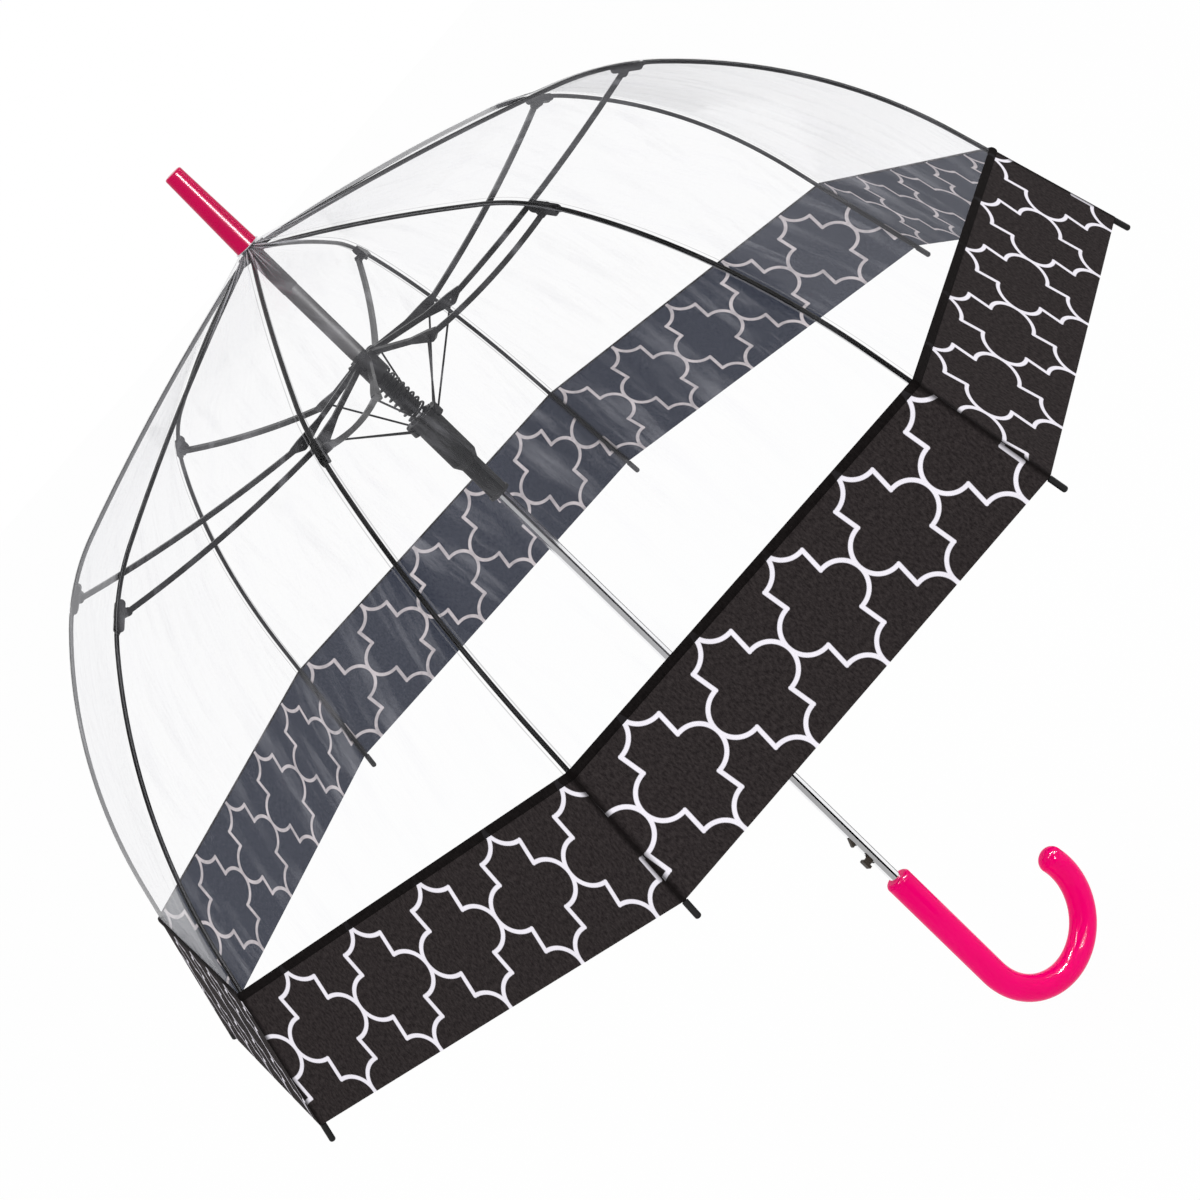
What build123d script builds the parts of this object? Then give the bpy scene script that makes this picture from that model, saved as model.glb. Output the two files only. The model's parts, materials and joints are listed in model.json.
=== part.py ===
"""Clear bubble umbrella, open, with its folding frame.

Millimetres, +Z up along the shaft, origin on the shaft axis at the top of the grip.
+X points from the grip towards the hook's free end.
"""
from build123d import *
from math import asin, atan2, cos, degrees, hypot, pi, radians, sin, sqrt
import os

os.makedirs("parts", exist_ok=True)

# ---- Ribs: one run from the crown to the tip, given by its bends ----
RIB_COUNT = 8
FIRST_RIB_ANGLE = -37.0          # from the hook's plane, about +Z
RIB_DIAMETER = 3.2
PIVOT_RADIUS = 8.6               # rib hinge circle in the crown
PIVOT_Z = 669.7
START_SLOPE = 12.5               # downward slope where the rib leaves the crown
CROWN_BEND_RADIUS = 1900.0
CROWN_BEND = 7.0
SHOULDER_BEND_RADIUS = 183.0
SHOULDER_BEND_TO_JOINT = 18.4
SHOULDER_BEND_AFTER_JOINT = 5.1
SIDE_BEND_RADIUS = 410.0
SIDE_BEND = 29.5
SKIRT_TO_SEAM = 28.0             # straight rib above the border's seam
BORDER_HEIGHT = 101.0
TIP_PROUD = 13.5                 # rib tip beyond the fabric's edge
CAP_DIAMETER = 4.4               # black cap on the tip
CAP_FROM_RIM = 0.4
CAP_ROUNDING = 0.42              # of the cap's diameter
ROD_IN_TIP = 3.0                 # rod's end short of the cap's end

# ---- Canopy ----
FILM_THICKNESS = 0.3
FABRIC_THICKNESS = 0.4
HEM_THICKNESS = 0.9
HEM_HEIGHT = 6.0
CANOPY_GAP = 0.6                 # film over the ribs, and cloth over film seams
CANOPY_HOLE_RADIUS = 7.1
CANOPY_COLLAR_RUN = 34.0         # free film between the crown and the first touch on a rib
COLLAR_RISE = 4.5                # film at the shaft, above the rib hinge

# ---- Shaft, ferrule and crown ----
SHAFT_DIAMETER = 9.0
SHAFT_WALL = 0.8
SHAFT_IN_GRIP = 45.0
SHAFT_IN_FERRULE = 24.0
FERRULE_LENGTH = 71.0
FERRULE_BASE_DIAMETER = 17.8
FERRULE_TIP_DIAMETER = 14.2
FERRULE_EDGE = 1.6
WASHER_DIAMETER = 20.0
WASHER_THICKNESS = 0.8
CROWN_DIAMETER = 24.0
CROWN_ABOVE_PIVOT = 2.0
CROWN_BELOW_PIVOT = 3.6
CROWN_SKIRT_DIAMETER = 12.7
CROWN_SKIRT_LENGTH = 33.0
STOP_TUBE_DIAMETER = 12.2
STOP_GAP = 0.2                   # stop tube above the open upper runner

# ---- Hinge hardware ----
RING_WIRE = 1.2
RING_PLAY = 0.06
EYE_WALL = 1.2
RIB_EYE_WIDTH = 2.4
SLOT_PLAY = 0.3                  # each side of a blade in its slot
JOINT_PIN_DIAMETER = 1.4
PIN_PLAY = 0.05

# ---- Upper runner and stretchers ----
UPPER_HINGE_RADIUS = 8.0
UPPER_HINGE_Z = 561.6
UPPER_FLANGE_DIAMETER = 24.4
UPPER_FLANGE_HALF = 3.0
UPPER_NECK_DIAMETER = 12.0
UPPER_NECK_RISE = 6.0            # neck top above the hinge
SPRING_COLLAR_DROP = 16.0        # collar's lower face below the hinge
SPRING_COLLAR_DIAMETER = 18.4
GUIDE_DIAMETER = 12.8
GUIDE_LENGTH = 35.0
RUNNER_PLAY = 0.06               # bore over shaft, in radius
STRETCHER_SIDE = 4.9             # stretcher's plane beside the rib's plane
STRETCHER_WIDTH = 3.4
STRETCHER_DEPTH = 3.8
STRETCHER_WALL = 0.8
STRETCHER_BOW = 4.0              # sag of the bar between elbow and rib
ELBOW_RADIUS = 74.0
ELBOW_DROP = 12.3                # below the upper hinge
ELBOW_BOSS_DIAMETER = 9.0
LEAF_BACK = 22.0                 # elbow's flare, towards the runner
LEAF_AHEAD = 9.0                 # and towards the rib
RIVET_DIAMETER = 3.8
RIVET_HEAD = 0.7
RIB_CLIP_LENGTH = 17.0
RIB_CLIP_WIDTH = 5.6
CLIP_SINK = 1.6                  # clip's and joint's middle inside the rib's, clear of the film
CLIP_PIVOT_BACK = 11.0           # stretcher pivot along the rib before the rib joint
CLIP_PIVOT_DROP = 5.2            # and inside it
CLIP_EAR_HALF = 2.5              # ear's half length where it leaves the clip
CLIP_BOSS_DIAMETER = 6.0         # stretcher's end at the clip
GROOVE_START = 0.05              # channel's open stretch, as parts of the bar
GROOVE_END = 0.95

# ---- Lower runner and braces ----
LOWER_HINGE_RADIUS = 12.6
LOWER_HINGE_Z = 499.9
LOWER_FLANGE_DIAMETER = 28.4
LOWER_FLANGE_RISE = 5.0
LOWER_FLANGE_DROP = 3.6
CUP_DIAMETER = 21.6
CUP_BORE = 19.6
CUP_DEPTH = 43.6
CUP_FLOOR = 6.0
SLEEVE_DIAMETER = 15.0
SLEEVE_LENGTH = 31.0
SLEEVE_LIP = 1.0
SLEEVE_LIP_HEIGHT = 2.4
RIDGE_ANGLE = -80.0
RIDGE_WIDTH = 1.6
RIDGE_PROUD = 0.7
WINDOW_LIP = 2.4                 # sleeve below the catch window
WINDOW_PLAY = 0.5                # window round the tooth, folded
BRACE_WIRE = 1.5
BRACE_EYE_DIAMETER = 2.8
BRACE_EYE_THICKNESS = 1.3
BRACE_SIDE_GAP = 0.45            # brace beside the stretcher's face

# ---- Main spring ----
SPRING_DIAMETER = 18.0
SPRING_WIRE = 1.8
SPRING_TURNS = 17
SPRING_SEAT_GAP = 0.25

# ---- Grip and release catch ----
GRIP_DIAMETER = 21.6
GRIP_LENGTH = 110.9              # straight part below the origin
HOOK_RADIUS = 52.1
HOOK_SWEEP = 201.9
GRIP_TOP_EDGE = 3.5
HOOK_END_EDGE = 8.5
LEVER_PIVOT_Z = -9.0
LEVER_PIN_DIAMETER = 1.6
LEVER_THICKNESS = 1.2
LEVER_WIDTH = 3.0
LEVER_TOP_PAST_CATCH = 2.0       # blade above the tooth or the button
LEVER_WALL_GAP = 0.4             # lever's back to the tube's inner wall
TOOTH_HEIGHT = 7.0
TOOTH_PROUD = 2.6
BUTTON_Z = 26.5
BUTTON_HEIGHT = 7.0
BUTTON_NECK_HEIGHT = 5.4
BUTTON_NECK_LENGTH = 3.8         # from the shaft's face to the cap
BUTTON_CAP_HEIGHT = 8.4
BUTTON_CAP_WIDTH = 6.0
BUTTON_CAP_THICKNESS = 2.3       # the cap stays inside the grip's own radius
BUTTON_EDGE = 1.0
CATCH_SLOT_PLAY = 0.5

# ---- Folded state ----
FOLDED_CLIP_RADIUS = 15.0        # stretcher pivots from the shaft's axis
FOLDED_TIP_RADIUS = 23.0

# ---- Worked out from the sizes above ----
SECTOR = 360.0 / RIB_COUNT
SHAFT_RADIUS = SHAFT_DIAMETER / 2
RIB_RADIUS = RIB_DIAMETER / 2
RUNNER_BORE = SHAFT_RADIUS + RUNNER_PLAY


def along_arc(start, radius, turn):
    """Place and downward slope after bending down by turn degrees on this radius."""
    x, z, slope = start
    old, new = radians(slope), radians(slope + turn)
    return (x + radius * (sin(new) - sin(old)), z + radius * (cos(new) - cos(old)), slope + turn)


def along_line(start, length):
    x, z, slope = start
    return (x + length * cos(radians(slope)), z - length * sin(radians(slope)), slope)


def lifted(station, distance=0.0):
    """The station's point, moved outwards, square to the rib."""
    x, z, slope = station
    return (x + distance * sin(radians(slope)), z + distance * cos(radians(slope)))


def turned(point, centre, angle):
    """A point of the rib plane turned about a centre, counter-clockwise."""
    dx, dz = point[0] - centre[0], point[1] - centre[1]
    c, s = cos(radians(angle)), sin(radians(angle))
    return (centre[0] + c * dx - s * dz, centre[1] + s * dx + c * dz)


PIVOT = (PIVOT_RADIUS, PIVOT_Z, START_SLOPE)
SHOULDER_START = along_arc(PIVOT, CROWN_BEND_RADIUS, CROWN_BEND)
RIB_JOINT = along_arc(SHOULDER_START, SHOULDER_BEND_RADIUS, SHOULDER_BEND_TO_JOINT)
SHOULDER_END = along_arc(RIB_JOINT, SHOULDER_BEND_RADIUS, SHOULDER_BEND_AFTER_JOINT)
SKIRT_START = along_arc(SHOULDER_END, SIDE_BEND_RADIUS, SIDE_BEND)
SEAM = along_line(SKIRT_START, SKIRT_TO_SEAM)
RIM = along_line(SEAM, BORDER_HEIGHT)
TIP = along_line(RIM, TIP_PROUD)

CLIP_PIVOT_STATION = along_arc(RIB_JOINT, SHOULDER_BEND_RADIUS,
                               -degrees(CLIP_PIVOT_BACK / SHOULDER_BEND_RADIUS))
CLIP_PIVOT = lifted(CLIP_PIVOT_STATION, -CLIP_PIVOT_DROP)
JOINT_POINT = lifted(RIB_JOINT, -CLIP_SINK)
UPPER_HINGE = (UPPER_HINGE_RADIUS, UPPER_HINGE_Z)
ELBOW = (ELBOW_RADIUS, UPPER_HINGE_Z - ELBOW_DROP)
LOWER_HINGE = (LOWER_HINGE_RADIUS, LOWER_HINGE_Z)
BRACE_SIDE = STRETCHER_SIDE - STRETCHER_WIDTH / 2 - BRACE_SIDE_GAP - BRACE_WIRE / 2


def rib_angle(index):
    return FIRST_RIB_ANGLE + index * SECTOR


def rib_plane(angle, side=0.0):
    """Upright plane through the shaft at this angle, moved sideways; local x is the radius."""
    out = Vector(cos(radians(angle)), sin(radians(angle)), 0)
    along = Vector(-sin(radians(angle)), cos(radians(angle)), 0)
    return Plane(origin=along * side, x_dir=out, z_dir=-along)


def save(name, label):
    name.part.label = label
    export_step(name.part, f"parts/{label}.step")


def save_group(names, label):
    """Several separate solids in one named piece."""
    group = Compound(children=[name.part for name in names])
    group.label = label
    export_step(group, f"parts/{label}.step")


def apart(a, b):
    return hypot(b[0] - a[0], b[1] - a[1])


def heading(a, b):
    """Direction from a to b in the rib's plane, in degrees above the outward radius."""
    return degrees(atan2(b[1] - a[1], b[0] - a[0]))


# ---- Fold: where each hinge goes when the lower runner is down on the catch ----
SLEEVE_BOTTOM = (LOWER_HINGE_Z + LOWER_FLANGE_RISE - CUP_DEPTH - CUP_FLOOR - SLEEVE_LENGTH)
clip_arm = apart(lifted(PIVOT), CLIP_PIVOT)
folded_heading = -90 + degrees(asin((FOLDED_CLIP_RADIUS - PIVOT_RADIUS) / clip_arm))
RIB_FOLD = heading(lifted(PIVOT), CLIP_PIVOT) - folded_heading
folded_clip = turned(CLIP_PIVOT, lifted(PIVOT), -RIB_FOLD)
stretcher_arm = apart(UPPER_HINGE, CLIP_PIVOT)
folded_upper = (UPPER_HINGE_RADIUS, folded_clip[1] - sqrt(
    stretcher_arm ** 2 - (folded_clip[0] - UPPER_HINGE_RADIUS) ** 2))
UPPER_TRAVEL = UPPER_HINGE_Z - folded_upper[1]
STRETCHER_FOLD = heading(folded_upper, folded_clip) - heading(UPPER_HINGE, CLIP_PIVOT)
open_elbow = turned(ELBOW, UPPER_HINGE, STRETCHER_FOLD)
folded_elbow = (open_elbow[0], open_elbow[1] - UPPER_TRAVEL)
brace_arm = apart(LOWER_HINGE, ELBOW)
folded_lower = (LOWER_HINGE_RADIUS, folded_elbow[1] - sqrt(
    brace_arm ** 2 - (folded_elbow[0] - LOWER_HINGE_RADIUS) ** 2))
LOWER_TRAVEL = LOWER_HINGE_Z - folded_lower[1]
BRACE_FOLD = heading(folded_lower, folded_elbow) - heading(LOWER_HINGE, ELBOW)
folded_joint = turned(JOINT_POINT, lifted(PIVOT), -RIB_FOLD)
tip_arm = apart(JOINT_POINT, lifted(TIP))
tip_heading = -90 + degrees(asin((FOLDED_TIP_RADIUS - folded_joint[0]) / tip_arm))
JOINT_FOLD = RIB_FOLD - (heading(JOINT_POINT, lifted(TIP)) - tip_heading)
TOOTH_Z = SLEEVE_BOTTOM - LOWER_TRAVEL + WINDOW_LIP + WINDOW_PLAY
print(f"fold: ribs {RIB_FOLD:.3f} deg, rib joints {JOINT_FOLD:.3f}, stretchers {STRETCHER_FOLD:.3f}, "
      f"braces {BRACE_FOLD:.3f}; runners {LOWER_TRAVEL:.3f} and {UPPER_TRAVEL:.3f} mm")
print(f"folded: hubs {folded_upper[1] - folded_lower[1]:.2f} mm apart, catch face at z {TOOTH_Z:.2f}, "
      f"tips at z {folded_joint[1] - tip_arm * cos(asin((FOLDED_TIP_RADIUS - folded_joint[0]) / tip_arm)):.2f}")


# ---- Shaft: chromed steel tube with two slots for the catch ----
SHAFT_TOP = PIVOT_Z + COLLAR_RISE + SHAFT_IN_FERRULE
SLOT_WIDTH = LEVER_WIDTH + 2 * SLOT_PLAY
with BuildPart() as shaft:
    with BuildSketch(Plane.XY.offset(-SHAFT_IN_GRIP)):
        Circle(SHAFT_RADIUS)
        Circle(SHAFT_RADIUS - SHAFT_WALL, mode=Mode.SUBTRACT)
    extrude(amount=SHAFT_TOP + SHAFT_IN_GRIP)
    with BuildSketch(Plane.YZ):
        for middle, height in ((TOOTH_Z + TOOTH_HEIGHT / 2, TOOTH_HEIGHT), (BUTTON_Z, BUTTON_HEIGHT)):
            with Locations((0, middle)):
                Rectangle(SLOT_WIDTH, height + 4 * CATCH_SLOT_PLAY)
    extrude(amount=-SHAFT_DIAMETER, mode=Mode.SUBTRACT)
    with Locations(Location((0, 0, LEVER_PIVOT_Z), (90, 0, 0))):
        Cylinder(LEVER_PIN_DIAMETER / 2, SHAFT_DIAMETER * 2, mode=Mode.SUBTRACT)
save(shaft, "shaft")

# ---- Grip: straight handle turned into a hook ----
HOOK_CENTRE = (HOOK_RADIUS, -GRIP_LENGTH)
with BuildPart() as grip:
    with BuildSketch(Plane.XY.offset(-GRIP_LENGTH)) as grip_section:
        Circle(GRIP_DIAMETER / 2)
    extrude(amount=GRIP_LENGTH)
    fillet(grip.edges().filter_by(GeomType.CIRCLE).sort_by(Axis.Z)[-1], GRIP_TOP_EDGE)
    revolve(grip_section.sketch, axis=Axis((HOOK_RADIUS, 0, -GRIP_LENGTH), (0, -1, 0)),
            revolution_arc=HOOK_SWEEP)
    hook_end = grip.faces().filter_by(GeomType.PLANE).sort_by(Axis.X)[-1]
    fillet(hook_end.edges(), HOOK_END_EDGE)
    with BuildSketch(Plane.XY):
        Circle(SHAFT_RADIUS)
    extrude(amount=-SHAFT_IN_GRIP, mode=Mode.SUBTRACT)
save(grip, "grip")

# ---- Release lever: tooth and push button on one blade, and its pin ----
LEVER_TOP_Z = max(TOOTH_Z + TOOTH_HEIGHT, BUTTON_Z + BUTTON_HEIGHT / 2) + LEVER_TOP_PAST_CATCH
LEVER_FACE = -(SHAFT_RADIUS - SHAFT_WALL - LEVER_WALL_GAP)
LEVER_BACK = LEVER_FACE + LEVER_THICKNESS
LEVER_BOSS = LEVER_PIN_DIAMETER / 2 + LEVER_THICKNESS
with BuildPart() as release_lever:
    with BuildSketch(Plane.XZ):
        with Locations(((LEVER_FACE + LEVER_BACK) / 2, (LEVER_PIVOT_Z + LEVER_TOP_Z) / 2)):
            Rectangle(LEVER_THICKNESS, LEVER_TOP_Z - LEVER_PIVOT_Z)
        with Locations((0, LEVER_PIVOT_Z)):
            Circle(LEVER_BOSS)
        with Locations((LEVER_FACE, LEVER_PIVOT_Z)):
            Rectangle(-LEVER_FACE, LEVER_THICKNESS, align=(Align.MIN, Align.CENTER))
        with BuildLine():
            Polyline((LEVER_BACK, TOOTH_Z), (-SHAFT_RADIUS - TOOTH_PROUD, TOOTH_Z),
                     (-SHAFT_RADIUS - TOOTH_PROUD, TOOTH_Z + TOOTH_HEIGHT / 5),
                     (-SHAFT_RADIUS, TOOTH_Z + TOOTH_HEIGHT),
                     (LEVER_BACK, TOOTH_Z + TOOTH_HEIGHT), close=True)
        make_face()
    extrude(amount=LEVER_WIDTH / 2, both=True)
    with BuildSketch(Plane.YZ.offset(LEVER_BACK)):
        with Locations((0, BUTTON_Z)):
            RectangleRounded(LEVER_WIDTH, BUTTON_HEIGHT, BUTTON_EDGE)
    with BuildSketch(Plane.YZ.offset(-SHAFT_RADIUS - BUTTON_NECK_LENGTH)):
        with Locations((0, BUTTON_Z)):
            RectangleRounded(LEVER_WIDTH, BUTTON_NECK_HEIGHT, BUTTON_EDGE)
    loft()
    with BuildSketch(Plane.YZ.offset(-SHAFT_RADIUS - BUTTON_NECK_LENGTH)):
        with Locations((0, BUTTON_Z)):
            RectangleRounded(BUTTON_CAP_WIDTH, BUTTON_CAP_HEIGHT, BUTTON_EDGE)
    extrude(amount=-BUTTON_CAP_THICKNESS)
    fillet(release_lever.faces().sort_by(Axis.X)[0].edges(), BUTTON_EDGE * 0.9)
    with Locations(Location((0, 0, LEVER_PIVOT_Z), (90, 0, 0))):
        Cylinder(LEVER_PIN_DIAMETER / 2 + PIN_PLAY, LEVER_WIDTH * 2, mode=Mode.SUBTRACT)
save(release_lever, "release_lever")

with BuildPart() as lever_pin:
    with Locations(Location((0, 0, LEVER_PIVOT_Z), (90, 0, 0))):
        Cylinder(LEVER_PIN_DIAMETER / 2, SHAFT_DIAMETER - SHAFT_WALL)
save(lever_pin, "lever_pin")

# ---- Crown: slotted ring that holds the ribs, with a skirt down the shaft ----
CROWN_TOP = PIVOT_Z + CROWN_ABOVE_PIVOT
CROWN_BOTTOM = PIVOT_Z - CROWN_BELOW_PIVOT
SKIRT_BOTTOM = CROWN_BOTTOM - CROWN_SKIRT_LENGTH
FILM_UNDERSIDE = PIVOT_Z + COLLAR_RISE
RIB_EYE_RADIUS = RING_WIRE / 2 + EYE_WALL
with BuildPart() as crown:
    with BuildSketch(Plane.XZ):
        with BuildLine():
            Polyline((SHAFT_RADIUS, FILM_UNDERSIDE), (CROWN_SKIRT_DIAMETER / 2, FILM_UNDERSIDE),
                     (CROWN_SKIRT_DIAMETER / 2, CROWN_TOP), (CROWN_DIAMETER / 2, CROWN_TOP),
                     (CROWN_DIAMETER / 2, CROWN_BOTTOM), (CROWN_SKIRT_DIAMETER / 2, CROWN_BOTTOM),
                     (CROWN_SKIRT_DIAMETER / 2, SKIRT_BOTTOM), (SHAFT_RADIUS, SKIRT_BOTTOM), close=True)
        make_face()
        with Locations((PIVOT_RADIUS, PIVOT_Z)):
            Circle(RING_WIRE / 2, mode=Mode.SUBTRACT)
    revolve(axis=Axis.Z)
    for index in range(RIB_COUNT):
        with BuildSketch(rib_plane(rib_angle(index))):
            with Locations((CROWN_SKIRT_DIAMETER / 2, PIVOT_Z)):
                Rectangle(CROWN_DIAMETER, 2 * (CROWN_BELOW_PIVOT + CROWN_ABOVE_PIVOT),
                          align=(Align.MIN, Align.CENTER))
        extrude(amount=RIB_EYE_WIDTH / 2 + SLOT_PLAY, both=True, mode=Mode.SUBTRACT)
save(crown, "crown")

with BuildPart() as crown_ring:
    with BuildSketch(Plane.XZ):
        with Locations((PIVOT_RADIUS, PIVOT_Z)):
            Circle(RING_WIRE / 2)
    revolve(axis=Axis.Z)
save(crown_ring, "crown_ring")

# ---- Ferrule and the washer that seals the film under it ----
WASHER_BOTTOM = FILM_UNDERSIDE + FILM_THICKNESS
FERRULE_BOTTOM = WASHER_BOTTOM + WASHER_THICKNESS
FERRULE_TOP = FERRULE_BOTTOM + FERRULE_LENGTH
with BuildPart() as top_washer:
    with BuildSketch(Plane.XY.offset(WASHER_BOTTOM)):
        Circle(WASHER_DIAMETER / 2)
        Circle(SHAFT_RADIUS, mode=Mode.SUBTRACT)
    extrude(amount=WASHER_THICKNESS)
save(top_washer, "top_washer")

with BuildPart() as ferrule:
    with BuildSketch(Plane.XZ):
        with BuildLine():
            Polyline((0, FERRULE_BOTTOM), (FERRULE_BASE_DIAMETER / 2, FERRULE_BOTTOM),
                     (FERRULE_TIP_DIAMETER / 2, FERRULE_TOP), (0, FERRULE_TOP), close=True)
        make_face()
    revolve(axis=Axis.Z)
    fillet(ferrule.edges().filter_by(GeomType.CIRCLE).sort_by(Axis.Z)[-1], FERRULE_EDGE)
    with BuildSketch(Plane.XY.offset(FERRULE_BOTTOM)):
        Circle(SHAFT_RADIUS)
    extrude(amount=SHAFT_TOP - FERRULE_BOTTOM, mode=Mode.SUBTRACT)
save(ferrule, "ferrule")

# ---- Upper runner: neck, slotted flange, spring collar and guide tube ----
NECK_TOP = UPPER_HINGE_Z + UPPER_NECK_RISE
COLLAR_BOTTOM = UPPER_HINGE_Z - SPRING_COLLAR_DROP
STRETCHER_EYE_RADIUS = STRETCHER_DEPTH / 2
with BuildPart() as upper_runner:
    with BuildSketch(Plane.XZ):
        with BuildLine():
            Polyline((RUNNER_BORE, NECK_TOP), (UPPER_NECK_DIAMETER / 2, NECK_TOP),
                     (UPPER_NECK_DIAMETER / 2, UPPER_HINGE_Z + UPPER_FLANGE_HALF),
                     (UPPER_FLANGE_DIAMETER / 2, UPPER_HINGE_Z + UPPER_FLANGE_HALF),
                     (UPPER_FLANGE_DIAMETER / 2, UPPER_HINGE_Z - UPPER_FLANGE_HALF),
                     (SPRING_COLLAR_DIAMETER / 2, UPPER_HINGE_Z - UPPER_FLANGE_HALF),
                     (SPRING_COLLAR_DIAMETER / 2, COLLAR_BOTTOM),
                     (GUIDE_DIAMETER / 2, COLLAR_BOTTOM),
                     (GUIDE_DIAMETER / 2, COLLAR_BOTTOM - GUIDE_LENGTH),
                     (RUNNER_BORE, COLLAR_BOTTOM - GUIDE_LENGTH), close=True)
        make_face()
    revolve(axis=Axis.Z)
    for index in range(RIB_COUNT):
        with BuildSketch(rib_plane(rib_angle(index), STRETCHER_SIDE)):
            with Locations((UPPER_HINGE_RADIUS - STRETCHER_EYE_RADIUS - SLOT_PLAY, UPPER_HINGE_Z)):
                Rectangle(UPPER_FLANGE_DIAMETER, 2 * (STRETCHER_EYE_RADIUS + SLOT_PLAY + STRETCHER_DEPTH),
                          align=(Align.MIN, Align.CENTER))
        extrude(amount=STRETCHER_WIDTH / 2 + SLOT_PLAY, both=True, mode=Mode.SUBTRACT)
    for index in range(RIB_COUNT):
        with BuildSketch(rib_plane(rib_angle(index), STRETCHER_SIDE)):
            with Locations(UPPER_HINGE):
                Circle(JOINT_PIN_DIAMETER / 2)
        extrude(amount=STRETCHER_WIDTH / 2 + SLOT_PLAY + JOINT_PIN_DIAMETER / 2, both=True,
                mode=Mode.SUBTRACT)
save(upper_runner, "upper_runner")

with BuildPart() as upper_pins:
    for index in range(RIB_COUNT):
        with BuildSketch(rib_plane(rib_angle(index), STRETCHER_SIDE)):
            with Locations(UPPER_HINGE):
                Circle(JOINT_PIN_DIAMETER / 2)
        extrude(amount=STRETCHER_WIDTH / 2 + SLOT_PLAY + JOINT_PIN_DIAMETER / 2, both=True)
save(upper_pins, "upper_pins")

# ---- Stop tube on the shaft, between the crown's skirt and the upper runner ----
with BuildPart() as stop_tube:
    with BuildSketch(Plane.XY.offset(NECK_TOP + STOP_GAP)):
        Circle(STOP_TUBE_DIAMETER / 2)
        Circle(SHAFT_RADIUS, mode=Mode.SUBTRACT)
    extrude(amount=SKIRT_BOTTOM - NECK_TOP - STOP_GAP)
save(stop_tube, "stop_tube")

# ---- Lower runner: slotted flange, spring cup, sleeve with the catch window ----
LOWER_RING_RADIUS = hypot(LOWER_HINGE_RADIUS, BRACE_SIDE)
FLANGE_TOP = LOWER_HINGE_Z + LOWER_FLANGE_RISE
FLANGE_BOTTOM = LOWER_HINGE_Z - LOWER_FLANGE_DROP
CUP_FLOOR_Z = FLANGE_TOP - CUP_DEPTH
CUP_BOTTOM = CUP_FLOOR_Z - CUP_FLOOR
BRACE_EYE_RADIUS = BRACE_EYE_DIAMETER / 2
with BuildPart() as lower_runner:
    with BuildSketch(Plane.XZ):
        with BuildLine():
            Polyline((CUP_BORE / 2, FLANGE_TOP), (LOWER_FLANGE_DIAMETER / 2, FLANGE_TOP),
                     (LOWER_FLANGE_DIAMETER / 2, FLANGE_BOTTOM), (CUP_DIAMETER / 2, FLANGE_BOTTOM),
                     (CUP_DIAMETER / 2, CUP_FLOOR_Z), (SLEEVE_DIAMETER / 2, CUP_BOTTOM),
                     (SLEEVE_DIAMETER / 2, SLEEVE_BOTTOM + SLEEVE_LIP_HEIGHT),
                     (SLEEVE_DIAMETER / 2 + SLEEVE_LIP, SLEEVE_BOTTOM + SLEEVE_LIP_HEIGHT),
                     (SLEEVE_DIAMETER / 2 + SLEEVE_LIP, SLEEVE_BOTTOM), (RUNNER_BORE, SLEEVE_BOTTOM),
                     (RUNNER_BORE, CUP_FLOOR_Z), (CUP_BORE / 2, CUP_FLOOR_Z), close=True)
        make_face()
        with Locations((LOWER_RING_RADIUS, LOWER_HINGE_Z)):
            Circle(RING_WIRE / 2, mode=Mode.SUBTRACT)
    revolve(axis=Axis.Z)
    for index in range(RIB_COUNT):
        with BuildSketch(rib_plane(rib_angle(index), BRACE_SIDE)):
            with Locations((CUP_DIAMETER / 2, LOWER_HINGE_Z)):
                Rectangle(LOWER_FLANGE_DIAMETER, 2 * (LOWER_FLANGE_RISE + LOWER_FLANGE_DROP),
                          align=(Align.MIN, Align.CENTER))
        extrude(amount=BRACE_WIRE / 2 + SLOT_PLAY, both=True, mode=Mode.SUBTRACT)
    with BuildSketch(rib_plane(RIDGE_ANGLE)):
        with BuildLine():
            Polyline((CUP_DIAMETER / 2 + RIDGE_PROUD, FLANGE_BOTTOM),
                     (CUP_DIAMETER / 2 + RIDGE_PROUD, CUP_FLOOR_Z),
                     (SLEEVE_DIAMETER / 2 + RIDGE_PROUD, CUP_BOTTOM),
                     (SLEEVE_DIAMETER / 2 + RIDGE_PROUD, SLEEVE_BOTTOM),
                     (SLEEVE_DIAMETER / 2 - RIDGE_PROUD, SLEEVE_BOTTOM),
                     (SLEEVE_DIAMETER / 2 - RIDGE_PROUD, CUP_BOTTOM),
                     (CUP_DIAMETER / 2 - RIDGE_PROUD, CUP_FLOOR_Z),
                     (CUP_DIAMETER / 2 - RIDGE_PROUD, FLANGE_BOTTOM), close=True)
        make_face()
    extrude(amount=RIDGE_WIDTH / 2, both=True)
    with BuildSketch(Plane.YZ):
        with Locations((0, SLEEVE_BOTTOM + WINDOW_LIP)):
            Rectangle(LEVER_WIDTH + 2 * WINDOW_PLAY, TOOTH_HEIGHT + 2 * WINDOW_PLAY,
                      align=(Align.CENTER, Align.MIN))
    extrude(amount=-SLEEVE_DIAMETER, mode=Mode.SUBTRACT)
save(lower_runner, "lower_runner")

with BuildPart() as lower_ring:
    with BuildSketch(Plane.XZ):
        with Locations((LOWER_RING_RADIUS, LOWER_HINGE_Z)):
            Circle(RING_WIRE / 2)
    revolve(axis=Axis.Z)
save(lower_ring, "lower_ring")


def ring_hole(ring_radius, near_side, far_side):
    """Radius of an eye's hole that clears the ring's curve between two sideways offsets."""
    near = sqrt(ring_radius ** 2 - near_side ** 2)
    far = sqrt(ring_radius ** 2 - far_side ** 2)
    return RING_WIRE / 2 + RING_PLAY + (near - far) / 2


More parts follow.
